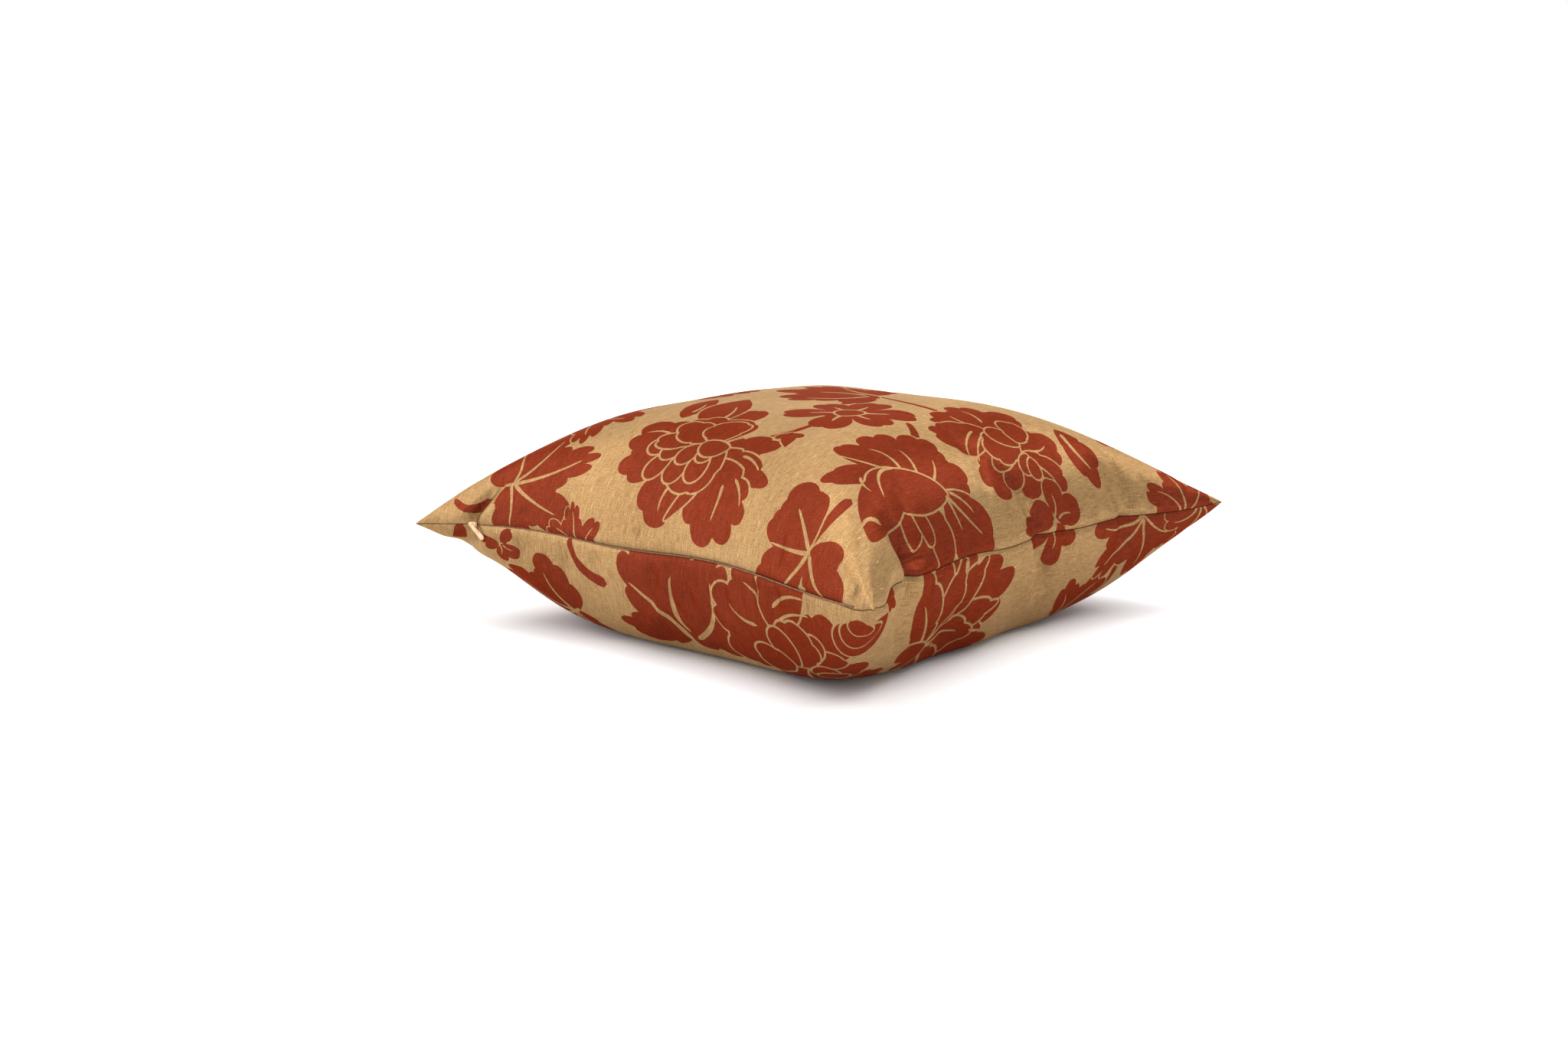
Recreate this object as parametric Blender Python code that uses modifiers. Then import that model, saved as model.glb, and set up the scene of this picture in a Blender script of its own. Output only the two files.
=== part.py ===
"""A plump square cushion cover, filled, with a knife-edge seam and a concealed zip.

Metres, +Z up. The cushion lies on its back on a floor at z = 0, with the origin under its middle.
The zip side faces -Y. A point of the cloth is named by u and v, its place on the flat panel before
the cover was filled, both counted from the panel's middle.
"""

import math
from collections import namedtuple

import bmesh
import bpy
import numpy as np
from mathutils import Matrix, Vector

MM = 0.001

# The flat cover
COVER = 450 * MM
HALF = COVER / 2

# The filled form. A waist is the distance from the middle of the cushion to the middle of a side.
# Draw is how late the seam swings out to its corners, and lean moves the fullest part of its curve along
# the side. Rise is how far the seam lifts half way along, and wave, pitch and start are the height,
# length and zero of the slow wave in which it wanders up and down.
TIP = 215.5 * MM
Side = namedtuple("Side", "waist draw lean rise wave pitch start")
SIDES = {
    "zip": Side(178.6 * MM, 2.2, 0.5, 0.9 * MM, 1.9 * MM, 210 * MM, 10 * MM),
    "right": Side(169.3 * MM, 3.25, 0.5, 2.3 * MM, 1.4 * MM, 100 * MM, -85 * MM),
    "back": Side(174 * MM, 2.7, 0, 1.0 * MM, 1.6 * MM, 170 * MM, 40 * MM),
    "left": Side(174 * MM, 2.7, 0, 1.0 * MM, 1.5 * MM, 130 * MM, -20 * MM),
}
WANDER_FADE = 4

# Crown is how far the cloth rises above the seam, and belly how far it would hang below it if the floor
# didn't press it flat. A larger shoulder is squarer in plan, and a smaller roundness is steeper at the
# seam. The fill shifts move the fullest place along X and Y.
SEAM_HEIGHT = 77 * MM
CROWN = 87 * MM
BELLY = 137 * MM
SHOULDER = 3.69
ROUNDNESS = 0.545
FILL_SHIFT_X = -0.035
FILL_SHIFT_Y = 0.012
FLOOR_ROUNDING = 35 * MM

# The corners: which way each lies, how far its tip is lifted, and how much thinner it is underneath
Ear = namedtuple("Ear", "x y lift thinning")
EARS = (
    Ear(-1, -1, -2.6 * MM, 0.52),
    Ear(1, -1, 1.7 * MM, 0.22),
    Ear(1, 1, 6.4 * MM, 0.33),
    Ear(-1, 1, 2.0 * MM, 0.33),
)
EAR_SPREAD = 0.45
EAR_SHARPNESS = 12

# The seam lies in a groove, with the cloth swelling on both sides of it, less so at the tips. Within the
# seam's turn the cloth swings round to meet the other panel, and the sideways power keeps that level
# direction square to the nearest side.
GROOVE = 2.2 * MM
GROOVE_WIDTH = 6 * MM
GROOVE_FADE = 70 * MM
GROOVE_AT_TIP = 0.25
SEAM_TURN = 12 * MM
SEAM_SIDEWAYS = 11
SEAM_WELD = 0.01 * MM

# Folds in the cloth: each is a valley from one point of a panel to another, deepest at its start
TOP, BOTTOM = "top", "bottom"
Fold = namedtuple("Fold", "panel u v to_u to_v depth width")
FOLDS = (
    # The crease that parts the zip's closed corner from the body
    Fold(TOP, -178 * MM, -221 * MM, -158 * MM, -192 * MM, 6.0 * MM, 6 * MM),
    Fold(BOTTOM, -178 * MM, -221 * MM, -205 * MM, -178 * MM, 7.0 * MM, 13 * MM),
    # The deep tuck behind the blunt front corner, which runs up and down from the seam
    Fold(TOP, 225 * MM, -134 * MM, 184 * MM, -146 * MM, 7.5 * MM, 9 * MM),
    Fold(BOTTOM, 225 * MM, -134 * MM, 194 * MM, -132 * MM, 7.5 * MM, 9 * MM),
    # The dimple on top of the front corner
    Fold(TOP, 196 * MM, -214 * MM, 172 * MM, -212 * MM, 2.5 * MM, 8 * MM),
    # The two gathers on the right side
    Fold(TOP, 225 * MM, 27 * MM, 192 * MM, 6 * MM, 3.5 * MM, 8 * MM),
    Fold(TOP, 225 * MM, 132 * MM, 180 * MM, 112 * MM, 4.0 * MM, 8 * MM),
    Fold(BOTTOM, 225 * MM, 132 * MM, 196 * MM, 128 * MM, 4.0 * MM, 8 * MM),
    # A soft gather on the left side, and one on the back
    Fold(TOP, -225 * MM, 62 * MM, -190 * MM, 70 * MM, 3.5 * MM, 10 * MM),
    Fold(BOTTOM, -225 * MM, 62 * MM, -195 * MM, 55 * MM, 3.5 * MM, 10 * MM),
    Fold(TOP, 88 * MM, 225 * MM, 96 * MM, 188 * MM, 3.5 * MM, 10 * MM),
    Fold(BOTTOM, 88 * MM, 225 * MM, 80 * MM, 192 * MM, 3.5 * MM, 10 * MM),
)
FOLD_RIDGE = 0.8

# The zip. Its slider's place is counted along the seam from the middle of the side. A stand is how far the
# middle of a piece is from the seam, or from the cloth behind it. The pull's foot rests on the lower panel.
SLIDER_AT = -175.5 * MM
TAPE_END = 200 * MM
TAPE_WIDTH = 1.4 * MM
TAPE_THICKNESS = 0.5 * MM
TAPE_STAND = 1.3 * MM
TAPE_STEPS = 60
SLIDER_LENGTH = 6.5 * MM
SLIDER_WIDTH = 3.4 * MM
SLIDER_THICKNESS = 2.4 * MM
SLIDER_STAND = 2.7 * MM
SLIDER_ROUNDING = 0.6 * MM
PULL_LENGTH = 16.5 * MM
PULL_NECK = 1.0 * MM
PULL_FOOT = 2.1 * MM
PULL_THICKNESS = 1.2 * MM
PULL_ROUNDING = 0.2 * MM
PULL_ARC_STEPS = 8
PULL_LIFT = 0.8 * MM
PULL_STAND = 1.3 * MM
PULL_REST_U = -167.5 * MM
PULL_REST_V = -217.5 * MM
PULL_REST_STAND = 1.8 * MM
TAPE_GAP = 0.7 * MM

# Fineness of the meshes, and of the tables that measure the cloth along lines of the form
PANEL_CELLS = 52
EVEN_SPACING = 0.45
ARC_STEPS = 161
ARC_ROWS = 81
ARC_ROUNDS = 25
NO_LENGTH = 1e-12


def smooth(share):
    """0 below 0, 1 above 1, and a soft S between them."""
    share = np.clip(share, 0, 1)
    return share * share * (3 - 2 * share)


def between(first, second, column, where):
    """A column of SIDES, read across the cushion from the first side, at -1, to the second, at 1."""
    low = getattr(SIDES[first], column)
    high = getattr(SIDES[second], column)
    return low + (high - low) * (1 + where) / 2


def plan(s, t):
    """X and Y of a point of the filled form. s runs from the left side, -1, to the right side, 1, and t from
    the zip side to the back."""
    waist_x = between("left", "right", "waist", s)
    waist_y = between("zip", "back", "waist", t)
    draw_x = between("left", "right", "draw", s)
    draw_y = between("zip", "back", "draw", t)
    lean_x = 1 + between("left", "right", "lean", s) * t * (1 - t * t)
    lean_y = 1 + between("zip", "back", "lean", t) * s * (1 - s * s)
    x = s * (waist_x + (TIP - waist_x) * np.abs(t) ** draw_x * lean_x)
    y = t * (waist_y + (TIP - waist_y) * np.abs(s) ** draw_y * lean_y)
    return x, y


def fullness(s, t):
    """How far the filling lifts the cloth off the seam's level, 0 on the seam and about 1 in the middle."""
    round_over = ((1 - np.abs(s) ** SHOULDER) * (1 - np.abs(t) ** SHOULDER)).clip(0) ** ROUNDNESS
    shift = FILL_SHIFT_X * s * (1 - s * s) + FILL_SHIFT_Y * t * (1 - t * t)
    return round_over * (1 + shift)


def wander(side, along, nearness):
    """How far the seam of one side lifts, its rise and its wave together, none at its tips."""
    wave = side.wave * np.sin(math.tau * (along * HALF - side.start) / side.pitch)
    return (side.rise + wave) * (1 - along * along) * nearness**WANDER_FADE


def seam_level(s, t):
    """The height of the seam, wandering along the sides and lifted at the ears."""
    level = SEAM_HEIGHT + wander(SIDES["zip"], s, (1 - t) / 2) + wander(SIDES["back"], s, (1 + t) / 2)
    level = level + wander(SIDES["left"], t, (1 - s) / 2) + wander(SIDES["right"], t, (1 + s) / 2)
    for ear in EARS:
        nearness = ((1 + ear.x * s) / 2) * ((1 + ear.y * t) / 2)
        level = level + ear.lift * nearness**EAR_SHARPNESS
    return level


def ear_thickness(s, t):
    """How much of the belly is left under the flat ears."""
    left = np.ones_like(s)
    for ear in EARS:
        left = left - ear.thinning * np.exp(-((s - ear.x) ** 2 + (t - ear.y) ** 2) / EAR_SPREAD**2)
    return left


def on_floor(height):
    """Heights below the floor are pressed flat onto it, with a soft turn up from it."""
    turn = (height + FLOOR_ROUNDING) ** 2 / (4 * FLOOR_ROUNDING)
    pressed = np.where(height < -FLOOR_ROUNDING, 0, turn)
    return np.where(height > FLOOR_ROUNDING, height, pressed)


def form(s, t, panel):
    """The smooth filled form."""
    x, y = plan(s, t)
    if panel == TOP:
        z = seam_level(s, t) + CROWN * fullness(s, t)
    else:
        z = on_floor(seam_level(s, t) - BELLY * fullness(s, t) * ear_thickness(s, t))
    return np.stack([x, y, z], axis=-1)


def arc_table(panel):
    """For lines across a quarter of the form, the shape coordinate at even steps of cloth from its middle."""
    along = 1 - np.linspace(1, 0, ARC_STEPS) ** 2
    rows = []
    for across in 1 - (1 - np.linspace(0, 1, ARC_ROWS)) ** 2:
        points = form(along, np.full_like(along, across), panel)
        steps = np.linalg.norm(np.diff(points, axis=0), axis=1)
        length = np.concatenate([[0], np.cumsum(steps)])
        rows.append(np.interp(np.linspace(0, length[-1], ARC_STEPS), length, along))
    return np.array(rows)


def read_table(table, along, across):
    """The table's value at a share of cloth along a line, for a line at a shape coordinate across."""
    row = (1 - np.sqrt(1 - np.clip(across, 0, 1))) * (ARC_ROWS - 1)
    column = np.clip(along, 0, 1) * (ARC_STEPS - 1)
    i = np.minimum(row.astype(int), ARC_ROWS - 2)
    j = np.minimum(column.astype(int), ARC_STEPS - 2)
    near = table[i, j] + (table[i, j + 1] - table[i, j]) * (column - j)
    far = table[i + 1, j] + (table[i + 1, j + 1] - table[i + 1, j]) * (column - j)
    return near + (far - near) * (row - i)


TABLES = {panel: arc_table(panel) for panel in (TOP, BOTTOM)}


def filled(u, v, panel):
    """A point of the flat cloth, carried to the smooth filled form with its lengths along u and v kept."""
    along_u = np.abs(u) / HALF
    along_v = np.abs(v) / HALF
    s, t = along_u, along_v
    for _ in range(ARC_ROUNDS):
        s, t = read_table(TABLES[panel], along_u, t), read_table(TABLES[panel], along_v, s)
    return form(np.sign(u) * s, np.sign(v) * t, panel)


def from_seam(u, v):
    """How far a point of the flat cloth is from the nearest side."""
    return HALF - np.maximum(np.abs(u), np.abs(v))


def unit(vectors):
    """The same directions with a length of 1."""
    return vectors / np.linalg.norm(vectors, axis=-1, keepdims=True).clip(NO_LENGTH)


def outward(u, v, panel):
    """The direction away from the filling: square to the cloth, and level where it meets the seam."""
    step = MM
    low_u, high_u = np.maximum(u - step, -HALF), np.minimum(u + step, HALF)
    low_v, high_v = np.maximum(v - step, -HALF), np.minimum(v + step, HALF)
    across = filled(high_u, v, panel) - filled(low_u, v, panel)
    along = filled(u, high_v, panel) - filled(u, low_v, panel)
    square = np.cross(across, along)
    square = square if panel == TOP else -square
    level = np.stack([(u / HALF) ** SEAM_SIDEWAYS, (v / HALF) ** SEAM_SIDEWAYS, 0 * u], axis=-1)
    turned = smooth(from_seam(u, v) / SEAM_TURN)[..., None]
    mixed = unit(square) * turned + unit(level) * (1 - turned)
    return unit(mixed)


def swelling(u, v):
    """How far the cloth swells beside the seam, fading towards the tips."""
    depth = from_seam(u, v) / GROOVE_WIDTH
    from_tip = HALF - np.minimum(np.abs(u), np.abs(v))
    fade = GROOVE_AT_TIP + (1 - GROOVE_AT_TIP) * smooth(from_tip / GROOVE_FADE)
    return GROOVE * depth * np.exp(1 - depth) * fade


def fold_depth(u, v, panel):
    """How deep the folds of one panel press into it, with a low ridge along both sides of each."""
    depth = np.zeros_like(u)
    for fold in FOLDS:
        if fold.panel != panel:
            continue
        run_u, run_v = fold.to_u - fold.u, fold.to_v - fold.v
        length = math.hypot(run_u, run_v)
        along = ((u - fold.u) * run_u + (v - fold.v) * run_v) / length
        across = ((v - fold.v) * run_u - (u - fold.u) * run_v) / length
        behind = np.minimum(along, 0)
        spread = (across**2 + behind**2) / fold.width**2
        fading = fold.depth * (1 - smooth(along / length))
        depth = depth + fading * (1 - FOLD_RIDGE * spread) * np.exp(-spread)
    return depth


def pressed(u, v, panel):
    """The depth of the folds, with both panels giving way alike on the seam that they share."""
    nearest_u = np.where(np.abs(u) >= np.abs(v), np.sign(u) * HALF, u)
    nearest_v = np.where(np.abs(u) >= np.abs(v), v, np.sign(v) * HALF)
    top = fold_depth(nearest_u, nearest_v, TOP)
    bottom = fold_depth(nearest_u, nearest_v, BOTTOM)
    own = top if panel == TOP else bottom
    away = smooth(from_seam(u, v) / SEAM_TURN)
    return fold_depth(u, v, panel) + ((top + bottom) / 2 - own) * (1 - away)


def cloth(u, v, panel):
    """A point of the flat cloth where it lies on the cushion, with the seam's groove and the folds."""
    moved = (swelling(u, v) - pressed(u, v, panel))[..., None]
    points = filled(u, v, panel) + outward(u, v, panel) * moved
    points[..., 2] = points[..., 2].clip(0)
    return points


def spaced(share):
    """Even steps from -1 to 1 made closer towards both ends, where the cloth turns sharply."""
    return (1 - EVEN_SPACING) * np.sin(share * math.pi / 2) + EVEN_SPACING * share


def add_panel(bm, panel):
    """One panel: a flat square of cells, lifted to where its cloth lies on the cushion."""
    net = bmesh.ops.create_grid(bm, x_segments=PANEL_CELLS, y_segments=PANEL_CELLS, size=HALF)
    verts = net["verts"]
    flat = HALF * spaced(np.array([vert.co[:2] for vert in verts]) / HALF)
    for cell in list({face for vert in verts for face in vert.link_faces}):
        split_cell(cell)
    for vert, point in zip(verts, cloth(flat[:, 0], flat[:, 1], panel)):
        vert.co = point
    if panel == BOTTOM:
        bmesh.ops.reverse_faces(bm, faces=list({face for vert in verts for face in vert.link_faces}))


def split_cell(cell):
    """Cuts a cell of the flat net along its line from the nearest tip, which keeps the ears' ridges clean."""
    corners = sorted(cell.verts, key=lambda vert: abs(vert.co.x) + abs(vert.co.y))
    bmesh.utils.face_split(cell, corners[0], corners[-1])


def make_cushion():
    """The filled cover: an upper and a lower panel that meet in the seam."""
    bm = bmesh.new()
    add_panel(bm, TOP)
    add_panel(bm, BOTTOM)
    bmesh.ops.remove_doubles(bm, verts=bm.verts, dist=SEAM_WELD)
    return object_from(bm, "cushion")


def object_from(bm, name):
    """An object with the mesh that was built."""
    mesh = bpy.data.meshes.new(name)
    bm.to_mesh(mesh)
    bm.free()
    mesh.shade_smooth()
    return bpy.data.objects.new(name, mesh)


def seam_frame(u, stand):
    """A place that stands off the zip side's seam, and its directions: X along the seam, Y across it and Z
    away from the filling."""
    where = np.array([u])
    edge = np.full(1, -HALF)
    away = Vector(outward(where, edge, TOP)[0])
    point = Vector(cloth(where, edge, TOP)[0]) + away * stand
    ahead = Vector(cloth(where + MM, edge, TOP)[0] - cloth(where - MM, edge, TOP)[0])
    across = away.cross(ahead).normalized()
    along = across.cross(away).normalized()
    return Matrix((along, across, away)).transposed().to_4x4(), point


def make_tape():
    """The strip of zip tape that shows in the seam's groove."""
    curve = bpy.data.curves.new("zip_tape", "CURVE")
    curve.dimensions = "3D"
    curve.twist_mode = "Z_UP"
    curve.extrude = (TAPE_WIDTH - TAPE_THICKNESS) / 2
    curve.bevel_depth = TAPE_THICKNESS / 2
    curve.bevel_resolution = 0
    curve.use_fill_caps = True
    start = SLIDER_AT + SLIDER_LENGTH / 2 + TAPE_GAP
    line = curve.splines.new("POLY")
    line.points.add(TAPE_STEPS - 1)
    for point, u in zip(line.points, np.linspace(start, TAPE_END, TAPE_STEPS)):
        point.co = (*seam_frame(u, TAPE_STAND)[1], 1)
    return bpy.data.objects.new("zip_tape", curve)


def make_slider():
    """The small body of the slider, in the groove at the closed end of the zip."""
    frame, point = seam_frame(SLIDER_AT, SLIDER_STAND)
    bm = bmesh.new()
    bmesh.ops.create_cube(bm, size=1)
    bmesh.ops.scale(bm, vec=(SLIDER_LENGTH, SLIDER_WIDTH, SLIDER_THICKNESS), verts=bm.verts)
    slider = object_from(bm, "zip_slider")
    rounding = slider.modifiers.new("rounding", "BEVEL")
    rounding.width = SLIDER_ROUNDING
    rounding.segments = 3
    slider.matrix_world = Matrix.Translation(point) @ frame
    return slider


def teardrop(neck, foot, length, steps):
    """The outline of a pull that hangs down -Y: a small arc round the neck, a larger one round the foot."""
    reach = length - neck - foot
    slope = math.asin((foot - neck) / reach)
    corners = []
    for centre_y, radius, start, end in (
        (0, neck, slope, math.pi - slope),
        (-reach, foot, math.pi - slope, math.tau + slope),
    ):
        for angle in np.linspace(start, end, steps + 1):
            corners.append((radius * math.cos(angle), centre_y + radius * math.sin(angle)))
    return corners


def make_pull():
    """The teardrop pull, hanging from the slider's face and resting against the lower panel."""
    curve = bpy.data.curves.new("zip_pull", "CURVE")
    curve.dimensions = "2D"
    curve.fill_mode = "BOTH"
    curve.extrude = PULL_THICKNESS / 2 - PULL_ROUNDING
    curve.bevel_depth = PULL_ROUNDING
    curve.bevel_resolution = 1
    curve.offset = -PULL_ROUNDING
    corners = teardrop(PULL_NECK, PULL_FOOT, PULL_LENGTH, PULL_ARC_STEPS)
    line = curve.splines.new("POLY")
    line.points.add(len(corners) - 1)
    line.use_cyclic_u = True
    for point, corner in zip(line.points, corners):
        point.co = (*corner, 0, 1)
    pull = bpy.data.objects.new("zip_pull", curve)
    pull.matrix_world = pull_frame()
    return pull


def pull_frame():
    """The pull's neck lies on the slider's face, and its foot on the lower panel."""
    frame, point = seam_frame(SLIDER_AT, SLIDER_STAND)
    neck = point + frame.col[2].to_3d() * ((SLIDER_THICKNESS + PULL_THICKNESS) / 2 + PULL_STAND)
    neck = neck + frame.col[1].to_3d() * PULL_LIFT
    rest_u, rest_v = np.array([PULL_REST_U]), np.array([PULL_REST_V])
    away = Vector(outward(rest_u, rest_v, BOTTOM)[0])
    foot = Vector(cloth(rest_u, rest_v, BOTTOM)[0]) + away * PULL_REST_STAND
    up = (neck - foot).normalized()
    across = up.cross(away).normalized()
    turned = Matrix((across, up, across.cross(up))).transposed().to_4x4()
    return Matrix.Translation(neck) @ turned


def plain_material(name, colour, roughness, metallic=0.0, sheen=0.0):
    """A plain material in the sub-part's colour, given as it looks on a screen."""
    material = bpy.data.materials.new(name)
    material.use_nodes = True
    shader = material.node_tree.nodes["Principled BSDF"]
    shader.inputs["Base Color"].default_value = (*(linear(value) for value in colour), 1)
    shader.inputs["Roughness"].default_value = roughness
    shader.inputs["Metallic"].default_value = metallic
    shader.inputs["Sheen Weight"].default_value = sheen
    return material


def linear(value):
    """One channel of a screen colour, 0 to 255, as light."""
    share = value / 255
    return share / 12.92 if share <= 0.04045 else ((share + 0.055) / 1.055) ** 2.4


def clear_scene():
    """Starts from an empty scene."""
    for old in list(bpy.data.objects):
        bpy.data.objects.remove(old)


def main():
    """Builds the cushion and the parts of its zip."""
    clear_scene()
    parts = bpy.data.collections.new("cushion_cover")
    bpy.context.scene.collection.children.link(parts)
    satin = plain_material("gold satin", (186, 141, 90), roughness=0.45, sheen=0.2)
    tape = plain_material("mauve-grey tape", (120, 98, 96), roughness=0.8)
    metal = plain_material("painted zip metal", (236, 205, 172), roughness=0.35, metallic=0.2)
    for piece, material in (
        (make_cushion(), satin),
        (make_tape(), tape),
        (make_slider(), metal),
        (make_pull(), metal),
    ):
        piece.data.materials.append(material)
        parts.objects.link(piece)


main()
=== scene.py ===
"""A plump square cushion cover in gold and red floral satin, photographed on a white floor.

Metres, +Z up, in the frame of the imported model. The cloth is drawn flat first: each panel is a square on
which flowers and leaves are laid out in millimetres. Its points are then carried to where they lie on the
filled cushion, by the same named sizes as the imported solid.
"""

import math
from collections import namedtuple

import bmesh
import bpy
import numpy as np
from mathutils import Matrix, Vector, geometry, kdtree


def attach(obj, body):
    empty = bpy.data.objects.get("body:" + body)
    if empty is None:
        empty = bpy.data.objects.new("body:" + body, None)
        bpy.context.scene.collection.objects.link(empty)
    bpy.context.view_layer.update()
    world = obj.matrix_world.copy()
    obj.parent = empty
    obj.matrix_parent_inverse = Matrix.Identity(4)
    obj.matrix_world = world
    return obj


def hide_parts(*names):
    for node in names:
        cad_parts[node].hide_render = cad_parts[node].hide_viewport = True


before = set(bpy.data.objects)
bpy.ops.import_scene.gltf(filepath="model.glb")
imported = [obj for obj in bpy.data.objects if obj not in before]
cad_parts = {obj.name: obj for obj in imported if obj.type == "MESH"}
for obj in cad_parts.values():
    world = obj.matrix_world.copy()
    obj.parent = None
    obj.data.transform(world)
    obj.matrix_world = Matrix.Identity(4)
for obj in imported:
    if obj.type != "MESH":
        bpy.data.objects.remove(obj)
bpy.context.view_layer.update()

MM = 0.001

# ---- The camera: where it looks from, round the cushion from the zip side and up, and what it aims at
CAMERA_AROUND = 40.61
CAMERA_UP = 11.38
CAMERA_ROLL = 0.107
CAMERA_DISTANCE = 1.3084
CAMERA_AIM = Vector((-0.0144, -0.0308, 0.074))
CAMERA_LENS = 40.41
CAMERA_SENSOR = 36

# ---- The cloth on the filled cushion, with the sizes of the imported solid
COVER = 450 * MM
HALF = COVER / 2
TIP = 215.5 * MM
Side = namedtuple("Side", "waist draw lean rise wave pitch start")
SIDES = {
    "zip": Side(178.6 * MM, 2.2, 0.5, 0.9 * MM, 1.9 * MM, 210 * MM, 10 * MM),
    "right": Side(169.3 * MM, 3.25, 0.5, 2.3 * MM, 1.4 * MM, 100 * MM, -85 * MM),
    "back": Side(174 * MM, 2.7, 0, 1.0 * MM, 1.6 * MM, 170 * MM, 40 * MM),
    "left": Side(174 * MM, 2.7, 0, 1.0 * MM, 1.5 * MM, 130 * MM, -20 * MM),
}
WANDER_FADE = 4
SEAM_HEIGHT = 77 * MM
CROWN = 87 * MM
BELLY = 137 * MM
SHOULDER = 3.69
ROUNDNESS = 0.545
FILL_SHIFT_X = -0.035
FILL_SHIFT_Y = 0.012
FLOOR_ROUNDING = 35 * MM
Ear = namedtuple("Ear", "x y lift thinning")
EARS = (
    Ear(-1, -1, -2.6 * MM, 0.52),
    Ear(1, -1, 1.7 * MM, 0.22),
    Ear(1, 1, 6.4 * MM, 0.33),
    Ear(-1, 1, 2.0 * MM, 0.33),
)
EAR_SPREAD = 0.45
EAR_SHARPNESS = 12
GROOVE = 2.2 * MM
GROOVE_WIDTH = 6 * MM
GROOVE_FADE = 70 * MM
GROOVE_AT_TIP = 0.25
SEAM_TURN = 12 * MM
SEAM_SIDEWAYS = 11
SEAM_WELD = 0.01 * MM
TOP, BOTTOM = "top", "bottom"
# The large folds, in millimetres on the flat cloth: where each starts and ends, how deep and how wide
Fold = namedtuple("Fold", "u v to_u to_v depth width")
FOLDS = {
    TOP: (
        Fold(-178, -221, -158, -192, 6.0, 6), Fold(225, -134, 184, -146, 7.5, 9),
        Fold(196, -214, 172, -212, 2.5, 8), Fold(225, 27, 192, 6, 3.5, 8),
        Fold(225, 132, 180, 112, 4.0, 8), Fold(-225, 62, -190, 70, 3.5, 10),
        Fold(88, 225, 96, 188, 3.5, 10),
    ),
    BOTTOM: (
        Fold(-178, -221, -205, -178, 7.0, 13), Fold(225, -134, 194, -132, 7.5, 9),
        Fold(225, 132, 196, 128, 4.0, 8), Fold(-225, 62, -195, 55, 3.5, 10),
        Fold(88, 225, 80, 192, 3.5, 10),
    ),
}
FOLD_RIDGE = 0.8
ARC_STEPS = 161
ARC_ROWS = 81
ARC_ROUNDS = 25
NO_LENGTH = 1e-12


def smooth(share):
    """0 below 0, 1 above 1, and a soft S between them."""
    share = np.clip(share, 0, 1)
    return share * share * (3 - 2 * share)


def between(first, second, where):
    """The waist, draw and lean across the cushion, from the first side, at -1, to the second, at 1."""
    ends = zip(SIDES[first][:3], SIDES[second][:3])
    return [low + (high - low) * (1 + where) / 2 for low, high in ends]


def plan(s, t):
    """X and Y of a point of the filled form. s runs from the left side, -1, to the right side, 1, and t from
    the zip side to the back."""
    waist_x, draw_x, lean_x = between("left", "right", s)
    waist_y, draw_y, lean_y = between("zip", "back", t)
    x = s * (waist_x + (TIP - waist_x) * np.abs(t) ** draw_x * (1 + lean_x * t * (1 - t * t)))
    y = t * (waist_y + (TIP - waist_y) * np.abs(s) ** draw_y * (1 + lean_y * s * (1 - s * s)))
    return x, y


def fullness(s, t):
    """How far the filling lifts the cloth off the seam's level, 0 on the seam and about 1 in the middle."""
    round_over = ((1 - np.abs(s) ** SHOULDER) * (1 - np.abs(t) ** SHOULDER)).clip(0) ** ROUNDNESS
    shift = FILL_SHIFT_X * s * (1 - s * s) + FILL_SHIFT_Y * t * (1 - t * t)
    return round_over * (1 + shift)


def wander(side, along, nearness):
    """How far the seam of one side lifts, its rise and its wave together, none at its tips."""
    wave = side.wave * np.sin(math.tau * (along * HALF - side.start) / side.pitch)
    return (side.rise + wave) * (1 - along * along) * nearness**WANDER_FADE


def seam_level(s, t):
    """The height of the seam, wandering along the sides and lifted at the ears."""
    level = SEAM_HEIGHT + wander(SIDES["zip"], s, (1 - t) / 2) + wander(SIDES["back"], s, (1 + t) / 2)
    level = level + wander(SIDES["left"], t, (1 - s) / 2) + wander(SIDES["right"], t, (1 + s) / 2)
    for ear in EARS:
        nearness = ((1 + ear.x * s) / 2) * ((1 + ear.y * t) / 2)
        level = level + ear.lift * nearness**EAR_SHARPNESS
    return level


def ear_thickness(s, t):
    """How much of the belly is left under the flat ears."""
    left = np.ones_like(s)
    for ear in EARS:
        left = left - ear.thinning * np.exp(-((s - ear.x) ** 2 + (t - ear.y) ** 2) / EAR_SPREAD**2)
    return left


def on_floor(height):
    """Heights below the floor are pressed flat onto it, with a soft turn up from it."""
    turn = (height + FLOOR_ROUNDING) ** 2 / (4 * FLOOR_ROUNDING)
    pressed = np.where(height < -FLOOR_ROUNDING, 0, turn)
    return np.where(height > FLOOR_ROUNDING, height, pressed)


def form(s, t, panel):
    """The smooth filled form."""
    x, y = plan(s, t)
    if panel == TOP:
        z = seam_level(s, t) + CROWN * fullness(s, t)
    else:
        z = on_floor(seam_level(s, t) - BELLY * fullness(s, t) * ear_thickness(s, t))
    return np.stack([x, y, z], axis=-1)


def arc_table(panel):
    """For lines across a quarter of the form, the shape coordinate at even steps of cloth from its middle."""
    along = 1 - np.linspace(1, 0, ARC_STEPS) ** 2
    rows = []
    for across in 1 - (1 - np.linspace(0, 1, ARC_ROWS)) ** 2:
        points = form(along, np.full_like(along, across), panel)
        steps = np.linalg.norm(np.diff(points, axis=0), axis=1)
        length = np.concatenate([[0], np.cumsum(steps)])
        rows.append(np.interp(np.linspace(0, length[-1], ARC_STEPS), length, along))
    return np.array(rows)


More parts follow.
